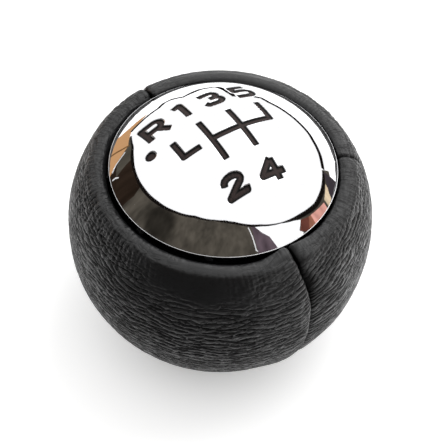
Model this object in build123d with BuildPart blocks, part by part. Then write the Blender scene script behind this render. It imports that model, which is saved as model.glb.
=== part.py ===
from build123d import *
import os
from math import asin, atan2, degrees, sqrt

# A leather-covered ball knob for a car's gear lever: a ribbed moulded core, two leather panels
# sewn along the front and rear seams, a plated cap that snaps in, a split sleeve that grips the
# lever and a ring that closes the foot. Millimetres, +Z up the lever, +Y to the front of the car,
# origin at the middle of the foot.

# Leather ball
ball_radius = 25.0  # outside of the leather
waist_height = 1.0  # straight band between the lower and the upper half ball
leather_thickness = 1.2
glue_gap = 0.1  # glue line between leather and core
rim_radius = 0.2  # edge of the core's lips, under the turned leather
top_hem_depth = 4.0  # leather turned down beside the cap
base_hem_depth = 3.6  # leather turned up beside the foot ring
hem_clearance = 0.2  # hem's end to the floor of its groove
seam_round = 0.9  # rounding of each panel's edge along a seam
seam_allowance = 1.6  # leather turned in between the panels at a seam
seam_clearance = 0.15  # seam allowance to its slot in the core
seam_end_inset = 5.5  # end of the seam allowance to the nearer rim

# Foot
base_opening_radius = 14.6  # hole in the leather under the ball
foot_height = 1.9  # foot ring below the leather
foot_plate = 2.0  # thickness of the ring's flat
foot_chamfer = 0.5
plug_wall = 1.7  # upright wall of the ring
plug_clearance = 0.2  # upright wall to the hem, and to the core

# Cap
cap_radius = 18.2
cap_gap = 0.8  # open band between cap and leather
cap_proud = 0.3  # cap's edge above the leather
dome_rise = 8.7  # top of the dome above the cap's edge
cap_wall = 2.0
cap_edge_round = 0.4
skirt_wall = 1.6
skirt_clearance = 0.2  # skirt to the core's ring wall
finger_count = 4
finger_width = 6.0
finger_wall = 1.4
finger_clearance = 0.2  # finger to the ring wall
finger_drop = 3.6  # finger's tip below the skirt
hook_catch = 0.45  # hook behind the ring wall
hook_height = 1.4
hook_tip = 0.6  # height of the tapered tip under the hook
hook_play = 0.15
key_width = 3.0
key_depth = 1.2
key_play = 0.2

# Core
shell_wall = 1.8  # wall at the floor of the outer pockets
slot_wall = 1.0  # least wall between a seam slot and a pocket
ring_wall = 2.4
ring_upstand = 3.6  # ring wall above the cap's seat
rib_count = 8
rib_thickness = 1.6
pocket_floor = 3.0  # web over the foot groove
boss_wall = 2.2
boss_end = 2.0
boss_headroom = 6.6  # closed end of the boss to the dome

# Lever sleeve
lever_radius = 6.0
sleeve_wall = 2.0
sleeve_play = 0.05
flange_reach = 1.6  # flange beyond the sleeve's wall
flange_thickness = 1.6
flange_play = 0.3
mouth_chamfer = 0.8
slit_count = 4
slit_width = 1.2
slit_inset = 1.0  # slits start this far above the splines
bead_reach = 0.4
bead_height = 1.2
bead_inset = 2.0  # bead below the sleeve's end
end_play = 0.3
spline_width = 2.0
spline_reach = 0.9
spline_length = 10.0

# The skin's section, from the foot up: base roll, lower ball, waist, upper ball, top roll
hem_roll_radius = rim_radius + glue_gap + leather_thickness
roll_reach = ball_radius - hem_roll_radius
skin_inside = ball_radius - leather_thickness
core_radius = skin_inside - glue_gap
top_hem_radius = cap_radius + cap_gap
top_roll_radius = top_hem_radius + hem_roll_radius
base_roll_radius = base_opening_radius + hem_roll_radius
base_roll_z = foot_height + hem_roll_radius
lower_centre_z = base_roll_z + sqrt(roll_reach**2 - base_roll_radius**2)
upper_centre_z = lower_centre_z + waist_height
top_roll_z = upper_centre_z + sqrt(roll_reach**2 - top_roll_radius**2)
base_angle = degrees(atan2(lower_centre_z - base_roll_z, base_roll_radius))
top_angle = degrees(atan2(top_roll_z - upper_centre_z, top_roll_radius))
top_hem_z = top_roll_z - top_hem_depth
base_hem_z = base_roll_z + base_hem_depth
seam_high_z = top_roll_z - seam_end_inset
seam_low_z = base_roll_z + seam_end_inset
seam_edge_radius = min(seam_round, 0.8 * leather_thickness)

# Cap and its seat
cap_edge_z = top_roll_z + hem_roll_radius + cap_proud
dome_radius = (cap_radius**2 + dome_rise**2) / (2 * dome_rise)
dome_inside = dome_radius - cap_wall
dome_centre_z = cap_edge_z + dome_rise - dome_radius
seat_z = top_hem_z - hem_clearance
skirt_inside = cap_radius - skirt_wall
ring_outside = skirt_inside - skirt_clearance
ring_inside = ring_outside - ring_wall
ring_top_z = seat_z + ring_upstand
finger_outside = ring_inside - finger_clearance
finger_inside = finger_outside - finger_wall
finger_tip_z = seat_z - finger_drop
hook_low_z = finger_tip_z + hook_tip
hook_top_z = hook_low_z + hook_height
hook_radius = ring_inside + hook_catch

# Sleeve and the core's boss, which reaches up under the dome
sleeve_radius = lever_radius + sleeve_wall
flange_radius = sleeve_radius + flange_reach
mouth_z = foot_plate - flange_thickness
boss_bore = sleeve_radius + sleeve_play
boss_radius = boss_bore + boss_wall
boss_top_z = dome_centre_z + sqrt(dome_inside**2 - boss_radius**2) - boss_headroom
boss_bore_top_z = boss_top_z - boss_end
sleeve_top_z = boss_bore_top_z - end_play
slit_low_z = foot_plate + spline_length + slit_inset
bead_top_z = sleeve_top_z - bead_inset
bead_low_z = bead_top_z - bead_height

# Core's grooves and pockets
top_groove_radius = top_hem_radius + leather_thickness + glue_gap
base_groove_radius = base_opening_radius + leather_thickness + glue_gap
base_groove_z = base_hem_z + hem_clearance
plug_radius = base_opening_radius - plug_clearance
plug_inside = plug_radius - plug_wall
base_groove_inside = plug_inside - plug_clearance
slot_inside = skin_inside - seam_allowance - seam_clearance
pocket_radius = min(top_groove_radius, slot_inside - slot_wall)
outer_floor_z = lower_centre_z - sqrt(core_radius**2 - (pocket_radius + shell_wall) ** 2)
inner_floor_z = base_groove_z + pocket_floor
rib_pitch = 360 / rib_count
same_size = 0.001  # sizes closer than this are taken as equal


def half_ball(radius):
    """Closed half outline of a ball of this radius, with its waist."""
    CenterArc((0, lower_centre_z), radius, -90, 90)
    Line((radius, lower_centre_z), (radius, upper_centre_z))
    CenterArc((0, upper_centre_z), radius, 0, 90)
    Line((0, upper_centre_z + radius), (0, lower_centre_z - radius))


def skin_side(radius, roll):
    """A layer of the covered ball, with its rolls over the two rims, from base to top."""
    CenterArc((base_roll_radius, base_roll_z), roll, -180, 180 - base_angle)
    CenterArc((0, lower_centre_z), radius, -base_angle, base_angle)
    Line((radius, lower_centre_z), (radius, upper_centre_z))
    CenterArc((0, upper_centre_z), radius, 0, top_angle)
    CenterArc((top_roll_radius, top_roll_z), roll, top_angle, 180 - top_angle)


def on_the_outside(edge):
    """True for the edges of a seam face that lie on the leather's grain side."""
    if edge.geom_type == GeomType.CIRCLE:
        sizes = (ball_radius, hem_roll_radius)
        return min(abs(edge.radius - size) for size in sizes) < same_size
    sizes = (ball_radius, top_hem_radius, base_opening_radius)
    return min(abs(abs(edge.center().Y) - size) for size in sizes) < same_size


# Left leather panel: a half shell with its hems, its seam edges rounded and turned in
with BuildPart() as leather_left:
    with BuildSketch(Plane.YZ):
        with BuildLine():
            skin_side(ball_radius, hem_roll_radius)
            skin_side(skin_inside, hem_roll_radius - leather_thickness)
            for opening, roll_z, hem_z in (
                (top_hem_radius, top_roll_z, top_hem_z),
                (base_opening_radius, base_roll_z, base_hem_z),
            ):
                Line((opening, roll_z), (opening, hem_z))
                Line((opening, hem_z), (opening + leather_thickness, hem_z))
                Line((opening + leather_thickness, hem_z), (opening + leather_thickness, roll_z))
        make_face()
    revolve(axis=Axis.Z, revolution_arc=180)
    with BuildSketch(Plane.YZ):
        with BuildLine():
            half_ball(ball_radius - leather_thickness / 2)
        make_face()
        with BuildLine():
            half_ball(skin_inside - seam_allowance)
        make_face(mode=Mode.SUBTRACT)
        with Locations((0, seam_low_z)):
            Rectangle(
                2 * ball_radius,
                seam_high_z - seam_low_z,
                align=(Align.CENTER, Align.MIN),
                mode=Mode.INTERSECT,
            )
        mirror(about=Plane.YZ)
    extrude(amount=-leather_thickness)
    seam_faces = leather_left.faces().filter_by(Axis.X).group_by(Axis.X)[-1]
    fillet(seam_faces.edges().filter_by(on_the_outside), seam_edge_radius)
leather_left.part.label = "leather_left"

with BuildPart() as leather_right:
    mirror(leather_left.part, about=Plane.YZ)
leather_right.part.label = "leather_right"

# Core: ball body with a hem groove at each rim, a ring wall for the cap and a boss for the sleeve
with BuildPart() as core:
    with BuildSketch(Plane.XZ):
        with BuildLine():
            skin_side(core_radius, rim_radius)
            Polyline(
                (base_groove_radius, base_roll_z),
                (base_groove_radius, base_groove_z),
                (base_groove_inside, base_groove_z),
                (base_groove_inside, foot_plate),
                (0, foot_plate),
                (0, boss_top_z),
                (boss_radius, boss_top_z),
                (boss_radius, seat_z),
                (ring_inside, seat_z),
                (ring_inside, ring_top_z),
                (ring_outside, ring_top_z),
                (ring_outside, seat_z),
                (top_groove_radius, seat_z),
                (top_groove_radius, top_roll_z),
            )
        make_face()
    revolve(axis=Axis.Z)
    # Pockets either side of the ring wall, parted by radial ribs
    for floor_z, inside, outside in (
        (outer_floor_z, ring_outside, pocket_radius),
        (inner_floor_z, boss_radius, ring_inside),
    ):
        with BuildSketch(Plane.XY.offset(floor_z)):
            Circle(outside)
            Circle(inside, mode=Mode.SUBTRACT)
            with PolarLocations(0, rib_count):
                Rectangle(ball_radius, rib_thickness, align=(Align.MIN, Align.CENTER), mode=Mode.SUBTRACT)
        extrude(amount=seat_z - floor_z, mode=Mode.SUBTRACT)
    # Catch for the cap's hooks and for the sleeve's bead
    with BuildSketch(Plane.XZ):
        with BuildLine():
            Polyline(
                (ring_inside - rim_radius, finger_tip_z - hook_play),
                (ring_inside, finger_tip_z - hook_play),
                (hook_radius + hook_play, hook_low_z - hook_play),
                (hook_radius + hook_play, hook_top_z + hook_play),
                (ring_inside - rim_radius, hook_top_z + hook_play),
                close=True,
            )
        make_face()
    revolve(axis=Axis.Z, mode=Mode.SUBTRACT)
    with BuildSketch(Plane.XY.offset(foot_plate)):
        Circle(boss_bore)
    extrude(amount=boss_bore_top_z - foot_plate, mode=Mode.SUBTRACT)
    with BuildSketch(Plane.XY.offset(bead_low_z - sleeve_play)):
        Circle(sleeve_radius + bead_reach + sleeve_play)
    extrude(amount=bead_height + 2 * sleeve_play, mode=Mode.SUBTRACT)
    # Keyways for the sleeve's splines, and a notch for the cap's key
    with BuildSketch(Plane.XY.offset(foot_plate)):
        Rectangle(
            2 * (sleeve_radius + spline_reach + sleeve_play),
            spline_width + 2 * sleeve_play,
        )
    extrude(amount=spline_length + end_play, mode=Mode.SUBTRACT)
    with BuildSketch(Plane.XY.offset(seat_z)):
        with Locations((0, skirt_inside - key_depth - key_play)):
            Rectangle(
                key_width + 2 * key_play,
                key_depth + key_play,
                align=(Align.CENTER, Align.MIN),
            )
    extrude(amount=ring_upstand, mode=Mode.SUBTRACT)
    # Slots for the seam allowances
    with BuildSketch(Plane.YZ):
        with BuildLine():
            half_ball(skin_inside)
        make_face()
        with BuildLine():
            half_ball(slot_inside)
        make_face(mode=Mode.SUBTRACT)
        with Locations((0, seam_low_z - seam_clearance)):
            Rectangle(
                2 * ball_radius,
                seam_high_z - seam_low_z + 2 * seam_clearance,
                align=(Align.CENTER, Align.MIN),
                mode=Mode.INTERSECT,
            )
        mirror(about=Plane.YZ)
    extrude(amount=leather_thickness + seam_clearance, both=True, mode=Mode.SUBTRACT)
core.part.label = "core"

# Cap: domed shell with a skirt that stands on the ribs, snap fingers and a locating key
with BuildPart() as cap:
    edge_angle = degrees(asin((cap_edge_z - dome_centre_z) / dome_radius))
    shoulder_z = dome_centre_z + sqrt(dome_inside**2 - skirt_inside**2)
    shoulder_angle = degrees(asin((shoulder_z - dome_centre_z) / dome_inside))
    with BuildSketch(Plane.XZ):
        with BuildLine():
            CenterArc((0, dome_centre_z), dome_radius, edge_angle, 90 - edge_angle)
            CenterArc((0, dome_centre_z), dome_inside, shoulder_angle, 90 - shoulder_angle)
            Line((0, dome_centre_z + dome_inside), (0, dome_centre_z + dome_radius))
            Polyline(
                (cap_radius, cap_edge_z),
                (cap_radius, seat_z),
                (skirt_inside, seat_z),
                (skirt_inside, shoulder_z),
            )
        make_face()
    revolve(axis=Axis.Z)
    circles = cap.edges().filter_by(GeomType.CIRCLE)
    skirt_edges = circles.filter_by(lambda edge: abs(edge.radius - cap_radius) < same_size)
    fillet(skirt_edges.sort_by(Axis.Z)[-1], cap_edge_round)
    finger_top_z = dome_centre_z + sqrt((dome_radius - cap_wall / 2) ** 2 - finger_outside**2)
    finger_arc = degrees(finger_width / finger_outside)
    for index in range(finger_count):
        start_angle = rib_pitch / 2 + index * 360 / finger_count - finger_arc / 2
        with BuildSketch(Plane.XZ.rotated((0, 0, start_angle))):
            with BuildLine():
                Polyline(
                    (finger_inside, finger_top_z),
                    (finger_outside, finger_top_z),
                    (finger_outside, hook_top_z),
                    (hook_radius, hook_top_z),
                    (hook_radius, hook_low_z),
                    (finger_outside, finger_tip_z),
                    (finger_inside, finger_tip_z),
                    close=True,
                )
            make_face()
        revolve(axis=Axis.Z, revolution_arc=finger_arc)
    with BuildSketch(Plane.XY.offset(seat_z + key_play)):
        with Locations((0, skirt_inside - key_depth)):
            Rectangle(key_width, key_depth + skirt_wall / 2, align=(Align.CENTER, Align.MIN))
    extrude(amount=ring_upstand)
cap.part.label = "cap"

# Lever sleeve: flanged tube, slit from the top so that it grips, held by a bead and two splines
with BuildPart() as lever_sleeve:
    with BuildSketch(Plane.XZ):
        with BuildLine():
            Polyline(
                (lever_radius, mouth_z + mouth_chamfer),
                (lever_radius + mouth_chamfer, mouth_z),
                (flange_radius, mouth_z),
                (flange_radius, foot_plate),
                (sleeve_radius, foot_plate),
                (sleeve_radius, bead_low_z),
                (sleeve_radius + bead_reach, bead_top_z - bead_height / 2),
                (sleeve_radius, bead_top_z),
                (sleeve_radius, sleeve_top_z),
                (lever_radius, sleeve_top_z),
                close=True,
            )
        make_face()
    revolve(axis=Axis.Z)
    with BuildSketch(Plane.XY.offset(foot_plate)):
        Rectangle(2 * (sleeve_radius + spline_reach), spline_width)
        Circle(sleeve_radius - sleeve_wall / 2, mode=Mode.SUBTRACT)
    extrude(amount=spline_length)
    with BuildSketch(Plane.XY.offset(slit_low_z)):
        with PolarLocations(0, slit_count, start_angle=180 / slit_count):
            Rectangle(flange_radius, slit_width, align=(Align.MIN, Align.CENTER))
    extrude(amount=sleeve_top_z - slit_low_z, mode=Mode.SUBTRACT)
lever_sleeve.part.label = "lever_sleeve"

# Foot ring: flat foot with an upright wall that holds the lower hem in its groove
with BuildPart() as foot_ring:
    ring_hole = flange_radius + flange_play
    with BuildSketch(Plane.XZ):
        with BuildLine():
            Polyline(
                (ring_hole, 0),
                (plug_radius, 0),
                (plug_radius, base_groove_z - hem_clearance),
                (plug_inside, base_groove_z - hem_clearance),
                (plug_inside, foot_plate),
                (ring_hole, foot_plate),
                close=True,
            )
        make_face()
    revolve(axis=Axis.Z)
    chamfer(foot_ring.edges().group_by(Axis.Z)[0].sort_by(SortBy.LENGTH)[-1], foot_chamfer)
foot_ring.part.label = "foot_ring"

os.makedirs("parts", exist_ok=True)
for piece in (cap, core, leather_left, leather_right, lever_sleeve, foot_ring):
    export_step(piece.part, f"parts/{piece.part.label}.step")
    print(piece.part.label, len(piece.part.solids()), round(piece.part.volume, 1))
print("lever bore from", round(mouth_z + mouth_chamfer, 3), "to", round(sleeve_top_z, 3))
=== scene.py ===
import math

import bpy
import numpy as np
from mathutils import Matrix, Vector


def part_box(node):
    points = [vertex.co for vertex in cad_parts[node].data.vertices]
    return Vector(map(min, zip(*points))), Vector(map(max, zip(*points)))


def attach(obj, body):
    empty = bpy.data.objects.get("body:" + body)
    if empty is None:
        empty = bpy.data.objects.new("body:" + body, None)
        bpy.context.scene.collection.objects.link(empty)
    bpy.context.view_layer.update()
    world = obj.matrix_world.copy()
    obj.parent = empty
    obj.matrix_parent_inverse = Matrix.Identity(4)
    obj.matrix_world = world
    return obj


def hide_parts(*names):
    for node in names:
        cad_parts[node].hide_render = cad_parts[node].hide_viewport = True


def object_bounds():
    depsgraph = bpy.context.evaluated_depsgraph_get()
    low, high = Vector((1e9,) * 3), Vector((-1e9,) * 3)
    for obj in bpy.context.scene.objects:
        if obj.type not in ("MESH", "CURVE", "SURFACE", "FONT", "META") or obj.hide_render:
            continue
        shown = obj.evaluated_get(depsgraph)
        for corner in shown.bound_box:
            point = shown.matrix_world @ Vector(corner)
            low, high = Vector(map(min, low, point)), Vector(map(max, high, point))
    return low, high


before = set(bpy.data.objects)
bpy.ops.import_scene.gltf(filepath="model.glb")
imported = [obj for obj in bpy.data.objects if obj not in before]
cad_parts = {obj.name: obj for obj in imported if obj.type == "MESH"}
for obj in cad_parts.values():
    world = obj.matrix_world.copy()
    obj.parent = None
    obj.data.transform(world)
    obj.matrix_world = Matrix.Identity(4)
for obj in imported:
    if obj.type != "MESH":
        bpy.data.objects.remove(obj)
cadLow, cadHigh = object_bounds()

# A leather-covered gear knob with a plated cap, built over its solids.
# Lengths are millimetres until a mesh is made, and +Y is the front of the car.
mm = 0.001
imageSize = 447  # pixels along each side of the picture

# Sizes that the solids give
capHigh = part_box("cap")[1] / mm
skinLow, skinHigh = (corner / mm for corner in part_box("leather_left"))
ballRadius = cadHigh.x / mm
capRadius = capHigh.x

latticeCells = 64  # noise and creases repeat after this many cells
spotRange = (0.09, 0.91)  # where in a crease's cell its point may lie
noiseLow, noiseHigh = 0.3, 0.7  # most of what a noise node gives lies between these


def toLinear(hexColour):
    # sRGB hex to linear: a straight foot below 0.04045, a 2.4 power above it
    parts = np.array([int(hexColour[i:i + 2], 16) for i in (1, 3, 5)]) / 255
    linear = np.where(parts <= 0.04045, parts / 12.92, ((parts + 0.055) / 1.055) ** 2.4)
    return (*linear.tolist(), 1.0)


def addNode(tree, kind, inputs=None, **settings):
    # one shader node: settings are its properties, inputs are values or sockets to link
    made = tree.nodes.new("ShaderNode" + kind)
    for name, value in settings.items():
        setattr(made, name, value)
    for key, value in (inputs or {}).items():
        if isinstance(value, bpy.types.NodeSocket):
            tree.links.new(value, made.inputs[key])
        else:
            made.inputs[key].default_value = value
    return made


def newMaterial(name):
    made = bpy.data.materials.new(name)
    made.use_nodes = True
    made.node_tree.nodes.clear()
    return made, made.node_tree


def mapRange(tree, value, low=0.0, high=1.0, toLow=0.0, toHigh=1.0, ease="LINEAR"):
    # takes a value from between low and high to between toLow and toHigh
    inputs = {"Value": value, 1: low, 2: high, 3: toLow, 4: toHigh}
    return addNode(tree, "MapRange", inputs, interpolation_type=ease).outputs[0]


def mixColours(tree, share, one, other, blend="MIX"):
    # goes from one colour to the other by a share, or multiplies them
    return addNode(tree, "Mix", {0: share, 6: one, 7: other}, data_type="RGBA", blend_type=blend).outputs[2]


def calculate(tree, operation, *values):
    return addNode(tree, "Math", dict(enumerate(values)), operation=operation).outputs[0]


def sizedNoise(tree, place, size, **inputs):
    # noise with lumps of about a size in millimetres
    inputs = {"Vector": place, "Scale": 1 / (size * mm), "Detail": 2, **inputs}
    return addNode(tree, "TexNoise", inputs).outputs["Fac"]


def addBump(tree, strength, depth, height, **under):
    # relief of a depth in millimetres, over the normals of the relief under it
    inputs = {"Strength": strength, "Distance": depth * mm, "Height": height, **under}
    return addNode(tree, "Bump", inputs).outputs[0]


def smoothStep(low, high, value):
    # 0 below low, 1 above high, eased by 3t^2 - 2t^3 between them
    share = np.clip((value - low) / (high - low), 0, 1)
    return share * share * (3 - 2 * share)


def bell(value, reach):
    # exp(-t^2), where t is the value as a share of its reach
    return np.exp(-(value / reach) ** 2)


def atLeast(least, share):
    # a share from 0 to 1, squeezed to run from its least to 1
    return least + (1 - least) * share


def latticeNoise(x, y, seed):
    # random heights from -1 to 1 on whole numbers, eased from one to the next
    table = np.random.default_rng(seed).uniform(-1, 1, (latticeCells, latticeCells))
    column, row = np.floor(x).astype(int), np.floor(y).astype(int)
    easeX, easeY = smoothStep(0, 1, x - column), smoothStep(0, 1, y - row)
    corner = [[table[(row + j) % latticeCells, (column + i) % latticeCells] for i in (0, 1)]
              for j in (0, 1)]
    low = corner[0][0] + easeX * (corner[0][1] - corner[0][0])
    high = corner[1][0] + easeX * (corner[1][1] - corner[1][0])
    return low + easeY * (high - low)


def creaseLines(x, y, length, width, seed):
    # one random point in each cell of length by width: distance in millimetres to the line between
    # the two nearest points' cells, and how far that line runs along x, from 0 to 1
    spots = np.random.default_rng(seed).uniform(*spotRange, (latticeCells, latticeCells, 2))
    column, row = np.floor(x / length).astype(int), np.floor(y / width).astype(int)
    first = second = np.full((3, *x.shape), np.inf)  # distance, x and y to the two nearest points, in cells
    for i in (-1, 0, 1):
        for j in (-1, 0, 1):
            spot = spots[(row + j) % latticeCells, (column + i) % latticeCells]
            awayX = column + i + spot[..., 0] - x / length
            awayY = row + j + spot[..., 1] - y / width
            this = np.stack([np.hypot(awayX, awayY), awayX, awayY])
            second = np.where(this[0] < first[0], first, np.where(this[0] < second[0], this, second))
            first = np.where(this[0] < first[0], this, first)
    apartX, apartY = second[1:] - first[1:]
    apart = np.maximum(np.hypot(apartX, apartY), 1e-6)
    slopeX, slopeY = apartX / apart / length, apartY / apart / width
    slope = np.hypot(slopeX, slopeY)
    return (second[0] ** 2 - first[0] ** 2) / (2 * apart) / slope, (slopeY / slope) ** 2


def arcPath(centre, radius, fromDegrees, toDegrees, count):
    # arc of a circle as rows of r, z and its outward normal
    turn = np.radians(np.linspace(fromDegrees, toDegrees, count))
    normal = np.stack([np.cos(turn), np.sin(turn)], 1)
    return np.hstack([np.array(centre) + radius * normal, normal])


def linePath(start, end, normal, count):
    # straight run as rows of r, z and one normal
    share = np.linspace(0, 1, count)[:, None]
    points = np.array(start) + share * (np.array(end) - np.array(start))
    return np.hstack([points, np.broadcast_to(np.array(normal, float), points.shape)])


def joinPaths(*paths):
    # each path starts where the one before it ends, and that point is taken once
    return np.vstack([paths[0], *[path[1:] for path in paths[1:]]])


def gridFaces(rows, columns, wrapColumns):
    # quads of a grid of points counted row by row
    across = columns if wrapColumns else columns - 1
    row, column = np.meshgrid(np.arange(rows - 1), np.arange(across), indexing="ij")
    near, far = column, (column + 1) % columns
    corners = [row * columns + near, row * columns + far]
    corners += [(row + 1) * columns + far, (row + 1) * columns + near]
    return np.stack(corners, -1).reshape(-1, 4)


def zipFaces(one, other, oneShare, otherShare):
    # triangles between two lines of points, taken in the order of their shares from 0 to 1
    share = np.concatenate([oneShare[1:], otherShare[1:]])
    order = np.argsort(share, kind="stable")
    fromOne = order < len(one) - 1
    i, j = np.cumsum(fromOne) - fromOne, np.cumsum(~fromOne) - ~fromOne
    third = np.where(fromOne, one[np.minimum(i + 1, len(one) - 1)],
                     other[np.minimum(j + 1, len(other) - 1)])
    return np.stack([one[i], third, other[j]], 1)


def addMesh(name, points, faceLists, material):
    # an object in the scene, from points in millimetres
    mesh = bpy.data.meshes.new(name)
    mesh.from_pydata((points * mm).tolist(), [], faceLists)
    mesh.materials.append(material)
    made = bpy.data.objects.new(name, mesh)
    bpy.context.scene.collection.objects.link(made)
    return made


def buildPiece(name, points, faceGroups, material):
    # puts points and faces into a mesh, turned so that the volume inside is positive
    volume = 0
    for faces in faceGroups:
        for k in range(1, faces.shape[1] - 1):
            a, b, c = (points[faces[:, i]] for i in (0, k, k + 1))
            volume += np.einsum("ij,ij->", a, np.cross(b, c))
    order = slice(None) if volume > 0 else slice(None, None, -1)
    faceLists = [face for faces in faceGroups for face in faces[:, order].tolist()]
    piece = addMesh(name, points, faceLists, material)
    piece.data.polygons.foreach_set("use_smooth", np.full(len(faceLists), True))
    return piece


def addAttribute(piece, name, values):
    # one value for each point, that a material can read
    held = piece.data.attributes.new(name, "FLOAT", "POINT")
    held.data.foreach_set("value", values.astype(np.float32))


def addUv(piece, name, across, along):
    # a map given for the points, which every face corner takes from its point
    layer = piece.data.uv_layers.new(name=name)
    corner = np.zeros(len(piece.data.loops), np.int32)
    piece.data.loops.foreach_get("vertex_index", corner)
    layer.data.foreach_set("uv", np.stack([across[corner], along[corner]], 1).ravel())


# Leather: calf hide, dyed through and lightly finished, pulled wet over the ball. It gives a
# dull black with a soft sheen on its rolls, and creases that lie round the ball like contour lines.
leatherLook = {
    "ridge": "#141415",
    # painted shade: the hide's colour deep in a crease, where little light gets in
    "crease": "#040404",
    "creaseSheen": "#0c0c0c",  # tint of the sheen deep in a crease, where little light gets in
    "creaseShut": (0.18, 0.75),  # depths where the painted shade in a crease starts, and is full
    "roughness": 0.37,
    "creaseRoughness": 0.75,
    "specular": 0.5,
    "wrinkleLength": 2.6,  # mm, fine wrinkles between the modelled creases
    "wrinkleWidth": 0.8,
    "wrinkleDepth": 0.15,
    "wrinkleSide": 0.12,  # height of the noise from a wrinkle's bottom to its top
    "wrinkleShadeLine": 0.035,  # and to the edge of its line of painted shade
    "wrinkleShare": (0.12, 0.62),  # on tight hide, and on the belly
    "rippleLength": 2.5,  # mm, fine ripples out from the cap on the shoulder
    "rippleWidth": 0.42,
    "rippleDepth": 0.18,
    "rippleShadeSpan": (0.48, 0.32),  # heights where painted shade in a ripple's valley starts, and is darkest
    "rippleShade": 0.3,
    "poreSize": 0.2,  # mm
    "poreDepth": 0.03,
    "poreStrength": 0.4,
    "cloudSize": 5.0,  # mm, uneven dye
    "cloudShade": (0.8, 1.15),
    "uvSpan": 100.0,  # mm of hide across one unit of the map
}


def calfLeather():
    look = leatherLook
    span = look["uvSpan"]
    material, tree = newMaterial("calfLeather")
    place = addNode(tree, "TexCoord").outputs["Object"]
    hide, ring = (addNode(tree, "UVMap", uv_map=name).outputs["UV"] for name in ("hide", "ring"))
    crease, belly, slack = (addNode(tree, "Attribute", attribute_name=name).outputs["Fac"]
                            for name in ("crease", "belly", "slack"))

    # fine wrinkles: valleys where a stretched noise passes its middle
    wrinkleMap = addNode(tree, "Mapping", {
        "Vector": hide, "Scale": (span / look["wrinkleLength"], span / look["wrinkleWidth"], 1)})
    wrinkle = addNode(tree, "TexNoise", {
        "Vector": wrinkleMap.outputs[0], "Scale": 1.0, "Detail": 2, "Roughness": 0.55, "Distortion": 0.4},
        noise_dimensions="2D")
    middle = calculate(tree, "SUBTRACT", wrinkle.outputs["Fac"], 0.5)
    fromWrinkle = calculate(tree, "ABSOLUTE", middle)
    wrinkleHeight = mapRange(tree, fromWrinkle, 0.0, look["wrinkleSide"], ease="SMOOTHSTEP")
    wrinkleShare = mapRange(tree, belly, 0.0, 1.0, *look["wrinkleShare"])
    # painted shade along each wrinkle's valley
    wrinkleShadeLine = mapRange(tree, fromWrinkle, look["wrinkleShadeLine"], 0.0)
    fine = calculate(tree, "MULTIPLY", wrinkleShadeLine, wrinkleShare)

    # ripples on slack hide, with painted shade in their valleys, and the modelled creases
    rippleMap = addNode(tree, "Mapping", {
        "Vector": ring, "Scale": (span / look["rippleWidth"], span / look["rippleLength"], 1)})
    ripple = addNode(tree, "TexNoise", {
        "Vector": rippleMap.outputs[0], "Scale": 1.0, "Detail": 2, "Distortion": 0.3}, noise_dimensions="2D")
    rippleLine = mapRange(tree, ripple.outputs["Fac"], *look["rippleShadeSpan"], toHigh=look["rippleShade"])
    between = calculate(tree, "MULTIPLY", rippleLine, slack)
    deep = mapRange(tree, crease, *look["creaseShut"], ease="SMOOTHSTEP")
    shadedLines = calculate(tree, "MAXIMUM", fine, between)
    paintedShade = calculate(tree, "MAXIMUM", deep, shadedLines)

    # relief too fine for the mesh
    pore = sizedNoise(tree, place, look["poreSize"], Roughness=0.6)
    wrinkleBump = addBump(tree, wrinkleShare, look["wrinkleDepth"], wrinkleHeight)
    rippleBump = addBump(tree, slack, look["rippleDepth"], ripple.outputs["Fac"], Normal=wrinkleBump)
    poreBump = addBump(tree, look["poreStrength"], look["poreDepth"], pore, Normal=rippleBump)

    # colour, sheen and gloss, from the open grain to the painted shade in creases, wrinkles, ripples, seams
    # and valleys, where colour and sheen are darkened
    cloud = sizedNoise(tree, place, look["cloudSize"], Detail=3)
    shade = mapRange(tree, cloud, noiseLow, noiseHigh, *look["cloudShade"])
    ridge = mixColours(tree, 1.0, toLinear(look["ridge"]), shade, "MULTIPLY")
    colour = mixColours(tree, paintedShade, ridge, toLinear(look["crease"]))
    sheen = mixColours(tree, paintedShade, toLinear("#ffffff"), toLinear(look["creaseSheen"]))
    gloss = mapRange(tree, paintedShade, 0.0, 1.0, look["roughness"], look["creaseRoughness"])
    skin = addNode(tree, "BsdfPrincipled", {
        "Base Color": colour, "Roughness": gloss, "Specular Tint": sheen,
        "Specular IOR Level": look["specular"], "Normal": poreBump})
    addNode(tree, "OutputMaterial", {"Surface": skin.outputs[0]})
    return material


leather = calfLeather()

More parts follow.
